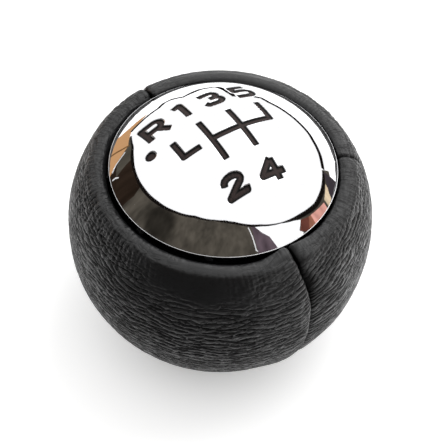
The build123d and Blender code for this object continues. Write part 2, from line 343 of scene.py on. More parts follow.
# Leather panels: each is a half ball of hide with rolled rims, its edges turned in at the seams.
# A span or fade is two values, where a thing starts and where it is full; latitudes are degrees.
panelShape = {
    "thickness": 1.2,
    "roll": 1.5,  # outside radius where the hide turns over a rim
    "waist": 1.0,  # straight band at the ball's middle
    "capGap": 0.8,  # cap to the top hem
    "topHem": 4.0,
    "baseHem": 3.6,
    "baseOpening": 14.6,
    "baseFade": (0.4, 3.0),  # heights over the base where the ball's relief starts
    "topFade": (0.8, 4.5),  # and depths under the top
    "hemFade": (-0.98, -0.6),  # outward slopes where relief starts, so that the hems have none
    # seams
    "rimSeamRound": 0.9,  # panel's edge along a seam, on the rolls and hems
    "seamFold": 1.6,  # hide turned in at a seam
    "seamEnds": 5.5,  # the fold ends this far from a rim
    "leastFold": 0.02,
    "leastFace": 0.05,  # least height of a seam's face
    "seamLean": (0.3, 0.7, 1.3),  # front seam, rear seam, and more at the rear rim, to the left
    "rimLeanSpan": (10, 34),  # latitudes of that more
    "seamSpread": (2.3, 3.0),  # how far a swelling and a dip reach from a seam
    "swellMiddle": 2.6,  # from the seam
    "dipSpan": (-25, 5),  # latitudes
    "pushedUp": (0.35, 6.5),  # share of a dip by which the hide behind it stands up, and how far behind
    "seamShut": (0.15, 0.6),  # depths between two panels where little light gets in, and hardly any
    "seamShade": 0.75,
    "valleyReach": 2.2,  # a dip at a seam gets painted shade like a crease
    "valleySpan": (-8.0, 26.0),  # latitudes
    "valleyShade": (0.5, 0.4),  # all over, and more on the ball
    # creases
    "creaseLength": 2.3,  # along the ball's circles
    "creaseWidth": 0.9,
    "creaseReach": 0.19,  # from a crease's middle to a third of its depth
    "creaseDepth": 0.34,
    "creaseBend": (0.8, 0.6),  # how far creases waver, across and along the panel
    "bendSizes": ((5, 4), (4, 3.5)),  # size of each waver, across and along
    "creaseSlope": 0.08,
    "creaseAcross": 0.15,  # depth that is left where a crease turns up the ball
    "creaseUpper": 0.92,  # and on the upper half
    "upperFade": (12, -15),  # latitudes where that ends
    "patch": (0.88, 0.12),  # depth from patch to patch: middle and swing
    "patchSize": (3, 1.6),
    "riseReach": 12.0,  # how far the creases' climb reaches from the rear seam
    "tightMiddle": (16.0, 29.0),  # millimetres from the seam that the hide was pulled to, and latitude
    "tightReach": (10.0, 9.0),
    "tightWaver": 3,  # degrees by which the tight place's edge wavers
    "tightPull": (1.5, 0.97),  # how flat it is pulled, and the most
    "bareSpan": (26, 39),  # latitudes where creases get weaker on the shoulder
    "seamBare": 2.6,  # creases are weaker this near to a dip
    "seamBareSpan": (0, 20),  # latitudes of that
    "slackBare": 5.0,  # and gathers this near
    "bareShare": 0.8,  # by this much
    # gathers, crumples and slow waves
    "gatherLength": 3.6,  # gathers run out from the cap
    "gatherWidth": 1.05,
    "gatherReach": 0.2,
    "gatherDepth": 0.15,
    "gatherBend": (0.5, 0.4),
    "gatherAcross": 0.2,  # depth that is left where a gather turns round the ball
    "gatherTop": (0.99, 0.9),  # upward slopes of the roll where gathers start
    "gatherSpan": (8, 28),  # millimetres from the front seam
    "gatherShade": 0.55,
    "slackSpan": (14, 30),  # latitudes where the hide is slack
    "slackTight": 0.35,  # slack that is left at the seam that the hide was pulled to
    "slackFrom": (20, 32),  # millimetres from that seam
    "crumpleDepth": 0.09,
    "crumpleSize": (1.3, 2.2),
    "waveDepth": 0.06,
    "waveSize": (9, 7),
    # a single fold
    "foldSpan": (27.0, 30.0, 38.0, 41.0),  # latitudes where it starts, is full, fades and ends
    "foldWidth": 0.35,
    "foldShade": 1.4,
    # the top roll
    "seamReach": 4.0,  # how far it stands fuller beside the rear seam
    "seamShare": 0.6,  # its lean at the seams, as a share of that between them
    "leanFade": (0.3, -0.7),  # outward slopes
    "squareness": 5,  # power of the rounded square
    "capReach": 1.0,  # full this far below the roll's middle
    # points of the grid
    "sectionSteps": (4, 12, 150, 8, 78, 22, 5),  # from the base hem to the top hem
    "edgeSteps": 10,
    "acrossSteps": 312,
    "fleshSteps": 26,
}
# edgeRounds, swells and dips are at the front and the rear seam; tight is the seam that the hide was
# pulled to, puff is how far the panel stands out all over, inward how far its top roll leans to the
# cap, full how square that roll is on the cap's side, atSeam how much more of both there is at the
# rear seam, rise how steeply the creases climb away from that seam, bare how much weaker they are on
# the shoulder, gathers how deep the gathers are, and fold the angle from the front seam and the depth
# of a single fold out from the cap
panelSides = {
    "leatherPanelLeft": {
        "side": -1, "node": "leather_left", "seed": 11, "tight": "rear", "puff": 0.05, "inward": 0.4,
        "full": 0.0, "bare": 0.8, "atSeam": (0.55, 1.8), "rise": -0.2, "edgeRounds": (1.2, 1.1),
        "swells": (0.3, 0.3), "dips": (0.0, 0.0), "fold": (70.0, 0.0), "gathers": 1.5},
    "leatherPanelRight": {
        "side": 1, "node": "leather_right", "seed": 23, "tight": "front", "puff": 0.1, "inward": 0.7,
        "full": 1.3, "bare": 0.8, "atSeam": (0.2, 1.0), "rise": 0.45, "edgeRounds": (1.1, 1.2),
        "swells": (0.25, 0.0), "dips": (0.0, 0.95), "fold": (115.5, 0.35), "gathers": 0.9},
}

shape = panelShape
rollReach = ballRadius - shape["roll"]
opening = shape["baseOpening"]
topHemRadius = capRadius + shape["capGap"]
topRoll = (topHemRadius + shape["roll"], skinHigh.z - shape["roll"])
baseRoll = (opening + shape["roll"], skinLow.z + shape["roll"])
lowerCentre = baseRoll[1] + math.sqrt(rollReach ** 2 - baseRoll[0] ** 2)
upperCentre = lowerCentre + shape["waist"]
baseAngle = math.degrees(math.atan2(lowerCentre - baseRoll[1], baseRoll[0]))
topAngle = math.degrees(math.atan2(topRoll[1] - upperCentre, topRoll[0]))
steps = shape["sectionSteps"]
skinPath = joinPaths(
    linePath((opening, baseRoll[1] + shape["baseHem"]), (opening, baseRoll[1]), (-1, 0), steps[0]),
    arcPath(baseRoll, shape["roll"], 180, 360 - baseAngle, steps[1]),
    arcPath((0, lowerCentre), ballRadius, -baseAngle, 0, steps[2]),
    linePath((ballRadius, lowerCentre), (ballRadius, upperCentre), (1, 0), steps[3]),
    arcPath((0, upperCentre), ballRadius, 0, topAngle, steps[4]),
    arcPath(topRoll, shape["roll"], topAngle, 180, steps[5]),
    linePath((topHemRadius, topRoll[1]), (topHemRadius, topRoll[1] - shape["topHem"]), (-1, 0), steps[6]),
)


def leatherPanel(name, choice):
    # the skin's section turned through half a circle from the front seam to the rear one; a loop
    # across the panel runs over the grain side, down the seam faces and back along the flesh side
    side, node, seed, dips = (choice[key] for key in ("side", "node", "seed", "dips"))
    radius, height, outR, outZ = (column[:, None] for column in skinPath.T)
    along = np.concatenate([[0], np.cumsum(np.hypot(*np.diff(skinPath[:, :2], axis=0).T))])[:, None]
    latitude = np.degrees(np.arctan2(height - lowerCentre, radius))
    starts, isFull = shape["baseFade"]
    onBall = smoothStep(skinLow.z + starts, skinLow.z + isFull, height) * (outR > 0)
    starts, isFull = shape["topFade"]
    onBall *= smoothStep(skinHigh.z - starts, skinHigh.z - isFull, height)
    shown = smoothStep(*shape["hemFade"], outR)
    quarter = np.linspace(0, math.pi / 2, shape["edgeSteps"])[None, :]
    edges = []
    for edgeRound in choice["edgeRounds"]:
        edge = shape["rimSeamRound"] + onBall * (edgeRound - shape["rimSeamRound"])
        edges.append((np.arcsin(edge * (1 - np.cos(quarter)) / radius), edge * (1 - np.sin(quarter))))
    (frontTurn, frontDrop), (rearTurn, rearDrop) = edges
    rearTurn, rearDrop = math.pi - rearTurn[:, ::-1], rearDrop[:, ::-1]
    share = np.linspace(0, 1, shape["acrossSteps"])[None, 1:-1]
    start, end = frontTurn[:, -1:], rearTurn[:, :1]
    turn = np.hstack([frontTurn, start + share * (end - start), rearTurn])
    drop = np.hstack([frontDrop, np.zeros((len(radius), share.shape[1])), rearDrop])
    across = radius * (turn - math.pi / 2)
    lineAlong = np.broadcast_to(along, across.shape)
    fromFront, fromRear = radius * turn, radius * (math.pi - turn)
    fromTight = fromRear if choice["tight"] == "rear" else fromFront

    def waver(size, draw, shift=0):
        # noise from -1 to 1 of a size in millimetres, across and along the panel
        return latticeNoise(across / size[0] + shift, lineAlong / size[1], seed + draw)

    def climb(fromSeam):
        # how far the creases have climbed at a distance from the rear seam: steep first, then level
        return choice["rise"] * shape["riseReach"] * np.tanh(fromSeam / shape["riseReach"])

    # creases: sharp valleys between long cells that lie round the belly, fewer where the hide is tight
    bendX, bendY = (waver(size, draw) for size, draw in zip(shape["bendSizes"], (1, 2)))
    middle, reach = shape["tightMiddle"], shape["tightReach"]
    pulled = np.exp(-((fromTight - middle[0]) / reach[0]) ** 2
                    - ((latitude + shape["tightWaver"] * bendY - middle[1]) / reach[1]) ** 2)
    pull, most = shape["tightPull"]
    belly = shown * (1 - np.clip(pull * pulled, 0, most))
    belly *= 1 - choice["bare"] * smoothStep(*shape["bareSpan"], latitude)
    byDip = shape["bareShare"] * dips[1] * bell(fromRear, shape["seamBare"])
    belly *= 1 - byDip * smoothStep(*shape["seamBareSpan"], latitude)
    bend = shape["creaseBend"]
    creaseAlong = lineAlong + bend[1] * bendY + shape["creaseSlope"] * across - climb(fromRear)
    away, lies = creaseLines(across + bend[0] * bendX, creaseAlong,
                             shape["creaseLength"], shape["creaseWidth"], seed)
    usual, swing = shape["patch"]
    patch = usual + swing * waver(shape["patchSize"], 3)
    crease = np.exp(-away / shape["creaseReach"]) * atLeast(shape["creaseAcross"], lies) * patch * belly
    crease *= atLeast(shape["creaseUpper"], smoothStep(*shape["upperFade"], latitude))

    # gathers: the same valleys turned to run out from the cap over the shoulder and the roll
    slack = atLeast(shape["slackTight"], smoothStep(*shape["slackFrom"], fromTight))
    slack *= shown * smoothStep(*shape["slackSpan"], latitude)
    slack *= 1 - shape["bareShare"] * dips[1] * bell(fromRear, shape["slackBare"])
    bend = shape["gatherBend"]
    away, lies = creaseLines(lineAlong + bend[0] * bendY, ballRadius * turn + bend[1] * bendX,
                             shape["gatherLength"], shape["gatherWidth"], seed + 4)
    gather = np.exp(-away / shape["gatherReach"]) * atLeast(shape["gatherAcross"], lies) * patch * slack
    gather *= choice["gathers"] * smoothStep(*shape["gatherTop"], outZ)
    gather *= smoothStep(*shape["gatherSpan"], fromFront)

    # relief of the grain side, outwards, with the single fold
    relief = choice["puff"] * onBall - shape["creaseDepth"] * crease - shape["gatherDepth"] * gather
    relief += shape["crumpleDepth"] * waver(shape["crumpleSize"], 5, bendX) * slack
    relief += shape["waveDepth"] * waver(shape["waveSize"], 6) * shown
    foldTurn, foldDepth = choice["fold"]
    starts, isFull, fades, ends = shape["foldSpan"]
    folded = bell(ballRadius * (turn - math.radians(foldTurn)), shape["foldWidth"])
    folded *= smoothStep(starts, isFull, latitude) * smoothStep(ends, fades, latitude)
    relief -= foldDepth * folded

    # swellings and dips beside the seams, and hide pushed up behind a dip
    spread, dipSpread = shape["seamSpread"]
    pushed, pushedAt = shape["pushedUp"]
    upper = onBall * smoothStep(*shape["dipSpan"], latitude)
    for fromSeam, swell, dip in zip((fromFront, fromRear), choice["swells"], dips):
        relief += onBall * swell * bell(fromSeam - shape["swellMiddle"], spread)
        relief -= upper * dip * bell(fromSeam, dipSpread)
        relief += upper * pushed * dip * bell(fromSeam - pushedAt, dipSpread)

    # the top roll leans to the cap, and its circle is pushed out to a rounded square
    atCap = smoothStep(topRoll[1] - shape["topHem"], topRoll[1] - shape["capReach"], height)
    evenly = atLeast(shape["seamShare"], np.sin(turn))
    bySeam = bell(fromRear, shape["seamReach"])
    moreLean, moreFull = choice["atSeam"]
    lean = choice["inward"] * evenly + moreLean * bySeam
    filled = choice["full"] * evenly + moreFull * bySeam
    power = shape["squareness"]
    square = (np.abs(outR) ** power + np.abs(outZ) ** power) ** (-1 / power) - 1
    rolled = lean * smoothStep(*shape["leanFade"], outR) + filled * shape["roll"] * square * (outR < 0)
    relief += rolled * atCap
    offset = relief - drop

    # seam faces and flesh side
    folds = (height > baseRoll[1] + shape["seamEnds"]) & (height < topRoll[1] - shape["seamEnds"])
    tuck = shape["leastFold"] + shape["seamFold"] * onBall * folds
    frontEdge, rearEdge = offset[:, :1], offset[:, -1:]
    frontFoot, rearFoot = (np.minimum(-shape["thickness"] - tuck, edge - shape["leastFace"])
                           for edge in (frontEdge, rearEdge))
    inner = np.arcsin(shape["thickness"] / radius)
    innerTurn = inner + np.linspace(0, 1, shape["fleshSteps"])[None, :] * (math.pi - 2 * inner)
    zero = np.zeros_like(radius)
    flesh = np.full((len(radius), innerTurn.shape[1]), -shape["thickness"])
    turnLoop = np.hstack([zero, zero, turn, zero + math.pi, zero + math.pi,
                          math.pi - inner, innerTurn[:, ::-1], inner])
    offsetLoop = np.hstack([frontFoot, (frontFoot + frontEdge) / 2, offset, (rearFoot + rearEdge) / 2,
                            rearFoot, rearFoot, flesh, frontFoot])
    frontLean, rearLean, rimLean = shape["seamLean"]
    rearLean = rearLean + rimLean * smoothStep(*shape["rimLeanSpan"], latitude)
    leaned = turnLoop + side * (rearLean * turnLoop - frontLean * (math.pi - turnLoop)) / math.pi / radius
    distance = radius + outR * offsetLoop
    points = np.stack([side * distance * np.sin(leaned), distance * np.cos(leaned),
                       height + outZ * offsetLoop], -1)
    rows, columns = turnLoop.shape
    outerCount = turn.shape[1] + 4
    faces = [gridFaces(rows, columns, True)]
    outer, innerLine = np.arange(outerCount), np.arange(outerCount, columns)[::-1]
    outerShare = turnLoop[0, :outerCount] / math.pi
    innerShare = turnLoop[0, outerCount:][::-1] / math.pi
    lowCap = zipFaces(outer, innerLine, outerShare, innerShare)
    faces += [lowCap[:, ::-1], lowCap + (rows - 1) * columns]
    piece = buildPiece(name, points.reshape(-1, 3), faces, leather)

    # maps for the material: painted shade in creases, gathers, the fold, seams and valleys (kept as crease),
    # belly and slack, all on the grain side
    allOver, onBallToo = shape["valleyShade"]
    valley = dips[1] * (allOver * shown + onBallToo * onBall) * smoothStep(*shape["valleySpan"], latitude)
    valley = valley * bell(fromRear, shape["valleyReach"])
    paintedShade = np.maximum(crease, shape["gatherShade"] * gather) + shape["foldShade"] * foldDepth * folded
    paintedShade += valley + shape["seamShade"] * smoothStep(*shape["seamShut"], drop)
    for attribute, values in (("crease", paintedShade), ("belly", belly), ("slack", slack ** 2)):
        padded = np.zeros((rows, columns))
        padded[:, 2:2 + turn.shape[1]] = values
        addAttribute(piece, attribute, padded.ravel())
    # the right panel's map lies half a unit on, so that the two don't show the same wrinkles
    span = leatherLook["uvSpan"]
    acrossLoop = radius * (turnLoop - math.pi / 2)
    alongLoop = np.broadcast_to(along, acrossLoop.shape) / span + (0.5 if side > 0 else 0)
    upLoop = climb(radius * (math.pi - turnLoop))
    addUv(piece, "hide", (acrossLoop / span + 0.5).ravel(), (alongLoop - upLoop / span).ravel())
    addUv(piece, "ring", (ballRadius * turnLoop / span).ravel(), alongLoop.ravel())
    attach(piece, "root")
    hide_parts(node)
    return piece, along[-1, 0]


for name, choice in panelSides.items():
    panel, panelLength = leatherPanel(name, choice)
    print(name, len(panel.data.polygons), "faces, hide from hem to hem", round(panelLength, 1), "mm")

# Cap: bright chromium plate on moulded ABS, polished before plating, with the engraved lines
# filled with a dull brown-black paint. It mirrors the room, with the faint ripple of a moulding.
capLook = {
    "plate": "#ececee",
    "plateRoughness": 0.035,
    "paint": "#372c2a",
    # painted shade on the engraving's walls, next to a line's edge
    "wallShade": "#070606",
    "paintRoughness": 0.55,
    "paintSpecular": 0.15,
    "paintFade": (0.05, -0.05),  # mm from a line's edge, where plate turns to paint
    "wallShadeFade": (-0.2, -0.42),  # and where the walls' painted shade turns to the paint on the floor
    "speckSize": 0.3,  # mm, dust in the paint
    "speckShade": (0.75, 1.15),
    "rippleSize": 9.0,  # mm
    "rippleDepth": 0.05,
    "rippleStrength": 0.15,
}


def chromedAbs():
    look = capLook
    material, tree = newMaterial("chromedAbs")
    place = addNode(tree, "TexCoord").outputs["Object"]
    away = addNode(tree, "Attribute", attribute_name="fromLine").outputs["Fac"]
    paint = mapRange(tree, away, *look["paintFade"])
    # painted shade on the engraving's walls, from a line's edge to the painted floor
    wall = mapRange(tree, away, *look["wallShadeFade"])
    speck = sizedNoise(tree, place, look["speckSize"], Detail=3)
    dusty = mapRange(tree, speck, noiseLow, noiseHigh, *look["speckShade"])
    tint = mixColours(tree, 1.0, toLinear(look["paint"]), dusty, "MULTIPLY")
    fill = mixColours(tree, wall, toLinear(look["wallShade"]), tint)
    colour = mixColours(tree, paint, toLinear(look["plate"]), fill)
    metal = mapRange(tree, paint, toLow=1.0, toHigh=0.0)
    gloss = mapRange(tree, paint, 0.0, 1.0, look["plateRoughness"], look["paintRoughness"])
    ripple = sizedNoise(tree, place, look["rippleSize"])
    waved = addBump(tree, look["rippleStrength"], look["rippleDepth"], ripple)
    plate = addNode(tree, "BsdfPrincipled", {
        "Base Color": colour, "Metallic": metal, "Specular IOR Level": look["paintSpecular"],
        "Roughness": gloss, "Normal": waved})
    addNode(tree, "OutputMaterial", {"Surface": plate.outputs[0]})
    return material


# Shift pattern, in its own frame: x to the right, y to the front
patternShape = {
    "turn": -4.5,  # degrees, as the cap sits in the knob
    "columns": (-7.95, -2.75, 2.7, 8.1),
    "bar": -0.35,
    "top": 3.8,
    "low": -4.65,
    "reverseTop": 2.95,
    "reverseBar": -0.55,
    "reverseStub": -4.9,
    "laneWidth": 1.04,
    "strokeWidth": 1.14,
    "depth": 0.3,
    "places": {"R": (-8.1, 7.8), "1": (-3.1, 8.0), "3": (2.3, 7.8), "5": (8.0, 7.6),
               "2": (-3.9, -8.7), "4": (2.6, -8.8)},
    "mark": (-11.4, 3.6),  # plain dot beside reverse
    "markWidth": 1.7,
    "bowSteps": 9,
}


def bow(centre, reach, fromDegrees, toDegrees):
    # part of an ellipse as a list of points
    turn = np.radians(np.linspace(fromDegrees, toDegrees, patternShape["bowSteps"]))
    points = [centre[0] + reach[0] * np.cos(turn), centre[1] + reach[1] * np.sin(turn)]
    return np.stack(points, 1).tolist()


# Plain signs in millimetres about their places, as lines of points
signLines = {
    "1": [[(-0.9, 1.3), (0.45, 1.65), (0.25, -1.95)]],
    "2": [[(-1.5, 0.4)] + bow((0, 0.7), (1.4, 0.75), 165, -35)
          + [(-1.5, -1.45), (1.5, -1.4), (1.6, -0.8)]],
    "3": [[(-1.7, 1.4), (0.3, 1.55)] + bow((0.3, 0.78), (0.9, 0.77), 90, -90) + [(-0.4, 0.0)],
          [(-0.4, 0.0), (0.4, 0.0)] + bow((0.4, -0.78), (1.05, 0.78), 90, -90)
          + [(-1.2, -1.5), (-1.6, -0.9)]],
    "4": [[(0.75, 1.55), (0.7, -1.95)], [(0.7, 1.5), (-1.8, -0.7), (2.2, -0.7)]],
    "5": [[(1.2, 1.6), (-1.3, 1.6), (-1.35, 0.25), (0.5, 0.25)] + bow((0.5, -0.65), (1.0, 0.9), 90, -90)
          + [(-1.7, -1.5)]],
    "R": [[(-1.65, -1.9), (-1.65, 1.65), (0.45, 1.65)] + bow((0.45, 0.75), (0.95, 0.9), 90, -90)
          + [(-1.65, -0.15)], [(0.2, -0.15), (1.75, -1.9)]],
}


def strokeDistance(x, y, line, half):
    # distance to the edge of one stroke, negative inside it: boxes round its straight pieces, which
    # leave its ends square, and discs at its bends
    nearest = np.full(x.shape, np.inf)
    for (ax, ay), (bx, by) in zip(line[:-1], line[1:]):
        length = math.hypot(bx - ax, by - ay)
        alongX, alongY = (bx - ax) / length, (by - ay) / length
        fromX, fromY = x - (ax + bx) / 2, y - (ay + by) / 2
        beyond = np.abs(fromX * alongX + fromY * alongY) - length / 2
        beside = np.abs(fromY * alongX - fromX * alongY) - half
        outside = np.hypot(np.maximum(beyond, 0), np.maximum(beside, 0))
        nearest = np.minimum(nearest, outside + np.minimum(np.maximum(beyond, beside), 0))
    for bendX, bendY in line[1:-1]:
        nearest = np.minimum(nearest, np.hypot(x - bendX, y - bendY) - half)
    return nearest


def patternDistance(x, y):
    # distance to the edge of the nearest engraved stroke, in the pattern's own frame
    p = patternShape
    turn = math.radians(-p["turn"])
    x, y = x * math.cos(turn) - y * math.sin(turn), x * math.sin(turn) + y * math.cos(turn)
    reverse, first, middle, last = p["columns"]
    lanes = [[(first, p["bar"]), (last, p["bar"]), (last, p["top"])],
             [(first, p["top"]), (first, p["low"])], [(middle, p["top"]), (middle, p["low"])],
             [(reverse, p["reverseTop"]), (reverse, p["reverseBar"]), (p["reverseStub"], p["reverseBar"])]]
    nearest = np.hypot(x - p["mark"][0], y - p["mark"][1]) - p["markWidth"] / 2
    for lane in lanes:
        nearest = np.minimum(nearest, strokeDistance(x, y, lane, p["laneWidth"] / 2))
    for sign, (signX, signY) in p["places"].items():
        for line in signLines[sign]:
            stroke = strokeDistance(x - signX, y - signY, line, p["strokeWidth"] / 2)
            nearest = np.minimum(nearest, stroke)
    return nearest


capShape = {
    "proud": 0.3,  # cap's edge above the leather
    "wall": 2.0,
    "beadRound": 0.07,  # fine bead where the plate builds up at the edge
    "beadProud": 0.03,
    "beadRise": -0.015,
    "lastStep": 0.08,  # degrees, a short step that keeps the dome's shine even up to the bead
    "skirtWall": 1.6,
    "hemClearance": 0.2,
    "columns": 512,
    "domeRings": 124,
    "beadRings": 17,
    "insideRings": 14,
    "wallRings": 4,  # up or down a straight wall
    "flatRings": 3,
    "domeSlack": 0.01,  # points this near to the dome count as on it
    "beadStart": 95,  # degrees, where the bead leaves the dome
    "engraveFade": (-0.16, 0.06),  # from a line's edge, where the engraving is full and where it ends
    "farAway": 9.0,  # from any line, for what isn't engraved
    "fingerCount": 4,
    "fingerTurn": 22.5,  # degrees to the first finger
    "fingerRadii": (12.4, 13.8),
    "fingerWidth": 6.0,
    "fingerDrop": 3.6,
    "hookRadius": 14.45,
    "hookHeights": (0.6, 2.0),  # above the finger's tip
    "keyTurn": 90,
    "keyWidth": 3.0,
    "keyRadii": (15.4, 17.4),
    "keyHeights": (0.2, 3.8),  # above the seat
    "arcSteps": 9,  # points round a finger or the key
}


def revolve(path, columns):
    # a profile from pole to pole turned about the axis: rings of points and a single point at each end
    turn = np.linspace(0, 2 * math.pi, columns, endpoint=False)[None, :]
    radius, height = path[1:-1, 0:1], path[1:-1, 1:2]
    rings = np.stack([radius * np.cos(turn), radius * np.sin(turn), height + 0 * turn], -1)
    rows = len(rings)
    points = np.vstack([rings.reshape(-1, 3), [[0, 0, path[0, 1]], [0, 0, path[-1, 1]]]])
    this = np.arange(columns)
    after = (this + 1) % columns
    top = np.stack([np.full(columns, rows * columns), after, this], 1)
    base = (rows - 1) * columns
    foot = np.stack([np.full(columns, rows * columns + 1), base + this, base + after], 1)
    return points, [gridFaces(rows, columns, True)[:, ::-1], top[:, ::-1], foot[:, ::-1]]


def sweepArc(outline, fromDegrees, toDegrees, count, first):
    # a closed outline of r, z turned through part of a circle, with flat ends
    turn = np.radians(np.linspace(fromDegrees, toDegrees, count))[:, None]
    outline = np.array(outline)
    points = np.stack([outline[:, 0] * np.cos(turn), outline[:, 0] * np.sin(turn),
                       outline[:, 1] + 0 * turn], -1).reshape(-1, 3)
    size = len(outline)
    ends = np.array([np.arange(size)[::-1], (count - 1) * size + np.arange(size)])
    return points, [gridFaces(count, size, True) + first, ends + first]


def platedCap():
    c = capShape
    edgeZ = skinHigh.z + c["proud"]
    rise = capHigh.z - edgeZ
    dome = (capRadius ** 2 + rise ** 2) / (2 * rise)
    centre = capHigh.z - dome
    inside = dome - c["wall"]
    seat = topRoll[1] - shape["topHem"] - c["hemClearance"]
    skirt = capRadius - c["skirtWall"]
    # the dome ends level with the bead's top, and a flat valley joins them
    bead = (capRadius + c["beadProud"] - c["beadRound"], edgeZ + c["beadRise"])
    domeEnd = math.degrees(math.asin((bead[1] + c["beadRound"] - centre) / dome))
    shoulder = centre + math.sqrt(inside ** 2 - skirt ** 2)
    shoulderAngle = math.degrees(math.atan2(shoulder - centre, skirt))
    domePath = joinPaths(arcPath((0, centre), dome, 90, domeEnd + c["lastStep"], c["domeRings"]),
                         arcPath((0, centre), dome, domeEnd + c["lastStep"], domeEnd, 2))
    beadEnd = math.degrees(math.acos((capRadius - bead[0]) / c["beadRound"]))
    beadPath = arcPath(bead, c["beadRound"], c["beadStart"], -beadEnd, c["beadRings"])
    path = joinPaths(
        domePath,
        linePath(domePath[-1, :2], beadPath[0, :2], (0, 1), c["flatRings"]),
        beadPath,
        linePath(beadPath[-1, :2], (capRadius, seat), (1, 0), c["wallRings"]),
        linePath((capRadius, seat), (skirt, seat), (0, -1), c["flatRings"]),
        linePath((skirt, seat), (skirt, shoulder), (-1, 0), c["wallRings"]),
        arcPath((0, centre), inside, shoulderAngle, 90, c["insideRings"]),
    )
    points, faces = revolve(path, c["columns"])
    away = patternDistance(points[:, 0], points[:, 1])
    fromCentre = np.linalg.norm(points - [0, 0, centre], axis=1)
    onTop = (fromCentre > dome - c["domeSlack"]) & (points[:, 2] > edgeZ)
    depth = patternShape["depth"] * (1 - smoothStep(*c["engraveFade"], away)) * onTop
    points -= (points - [0, 0, centre]) / dome * depth[:, None]
    away = np.where(onTop, away, c["farAway"])

    # snap fingers and the locating key, inside the dome
    low, high = c["fingerRadii"]
    tip = seat - c["fingerDrop"]
    fingerTop = centre + math.sqrt((dome - c["wall"] / 2) ** 2 - high ** 2)
    hook = c["hookRadius"]
    hookLow, hookTop = (tip + up for up in c["hookHeights"])
    finger = [(low, fingerTop), (high, fingerTop), (high, hookTop), (hook, hookTop),
              (hook, hookLow), (high, tip), (low, tip)]
    fingerHalf = math.degrees(c["fingerWidth"] / high) / 2
    keyIn, keyOut = c["keyRadii"]
    keyLow, keyTop = (seat + up for up in c["keyHeights"])
    key = [(keyIn, keyTop), (keyOut, keyTop), (keyOut, keyLow), (keyIn, keyLow)]
    keyHalf = math.degrees(c["keyWidth"] / 2 / keyOut)
    arcs = [(finger, c["fingerTurn"] + 360 / c["fingerCount"] * k, fingerHalf)
            for k in range(c["fingerCount"])]
    for outline, middle, reach in arcs + [(key, c["keyTurn"], keyHalf)]:
        more, moreFaces = sweepArc(outline, middle - reach, middle + reach, c["arcSteps"], len(points))
        points = np.vstack([points, more])
        faces += moreFaces
    piece = buildPiece("platedCap", points, faces, chromedAbs())
    addAttribute(piece, "fromLine", np.concatenate([away, np.full(len(points) - len(away), c["farAway"])]))
    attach(piece, "root")
    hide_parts("cap")
    return piece


cap = platedCap()
print("platedCap", len(cap.data.polygons), "faces")

# Moulded plastics that stay as solids: a black ribbed core, a pale nylon sleeve and a black foot
# ring. Each is injection moulded: a fine spark-eroded grain and a soft, uneven sheen.
plasticLooks = {
    "core": {"name": "glassFilledNylon", "colour": "#17171a", "roughness": 0.5,
             "grain": 0.4, "bump": 0.03},  # mm
    "lever_sleeve": {"name": "naturalNylon", "colour": "#d9d4c6", "roughness": 0.45,
                     "grain": 0.6, "bump": 0.02},
    "foot_ring": {"name": "grainedAbs", "colour": "#1b1b1d", "roughness": 0.55,
                  "grain": 0.35, "bump": 0.05},
}
mouldFlow = {
    "size": 8.0,  # mm, where the melt flowed unevenly
    "gloss": 0.08,
    "shade": 0.15,
    "bumpStrength": 0.5,
}
for node, look in plasticLooks.items():
    plastic, tree = newMaterial(look["name"])
    place = addNode(tree, "TexCoord").outputs["Object"]
    grain = sizedNoise(tree, place, look["grain"])
    flow = sizedNoise(tree, place, mouldFlow["size"])
    bump = addBump(tree, mouldFlow["bumpStrength"], look["bump"], grain)
    swing = mouldFlow["gloss"]
    gloss = mapRange(tree, flow, 0.0, 1.0, look["roughness"] - swing, look["roughness"] + swing)
    swing = mouldFlow["shade"]
    shade = mapRange(tree, flow, 0.0, 1.0, 1 - swing, 1 + swing)
    colour = mixColours(tree, 1.0, toLinear(look["colour"]), shade, "MULTIPLY")
    body = addNode(tree, "BsdfPrincipled", {"Base Color": colour, "Roughness": gloss, "Normal": bump})
    addNode(tree, "OutputMaterial", {"Surface": body.outputs[0]})
    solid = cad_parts[node]
    solid.data.materials.clear()
    solid.data.materials.append(plastic)
print("plastics on", ", ".join(plasticLooks))

# Stage: white paper floor and a white tent overhead, open towards a dim room on the camera's side
stageShape = {
    "floorRings": (0.001, 60.0, 200.0, 600.0, 1500.0),
    "floorSteps": 96,
    "floorDrop": 0.02,  # below the foot
    "tentRadius": 1000.0,
    "tentTop": 89.9,  # degrees
    "tentSteps": (181, 24),
    "nearRadius": 100.0,  # cards that show below the horizon stand this near, clear of the floor
    "hemTurns": (96, 358),  # azimuths between which the hem hangs
    "hemAt": 0.8,  # shares of the two radii, so that one card stands before another
    "softBoxAt": 0.98,
    "roomAt": 0.97,
    "lineAt": 0.95,
    "sheenShadeAt": 0.6,
    "cardStep": 0.01,
    "hemRows": 3,
    "softBoxRows": 8,
    "sheenShadeRows": 4,
    "eyeHeight": 36.0,  # middle of the tent, at the cap
    "paper": "#f4f4f4",
    "paperGlow": 0.44,  # to the camera, so that lit paper is white
    "paperGloss": 0.6,  # in the leather's sheen
    "room": "#534e46",
    "sheenShadeCard": "#5c5c5e",  # painted shade: a dark card over the paper, seen only in reflections such as the leather's sheen
    "hem": "#14110f",
    "tent": 1.2,
    "softBox": 2.8,
    "sheenGlow": 2.4,  # painted reflection: a glowing card on the paper at the picture's right, seen only in reflections, that brightens the leather's sheen there
    "sheetTurns": (58, 158),
    "sheetReach": (28.0, 160.0),
    "sheetHeight": 0.3,
    "sheetSteps": 12,
    "streakWidth": 120.0,  # mm at a metre, in the dim room
    "streakRatio": 0.1,
    "uneven": 0.4,
    "recess": (279, 29),  # dark recess in the room: azimuth and elevation
    "recessReach": (8, 17),  # degrees from its middle to its dark and its light
    "recessLevel": 0.3,
}
softBoxEdge = ((44, 66, 88, 114), (34, 29, 23, 20), (72, 76, 76, 72))  # azimuths, low edge and high edge
sheenShadeEdge = ((194, 211, 228, 245, 262, 278), (-38,) * 6, (2,) * 6)  # a dark card over the paper on the camera's side, for painted shade in reflections
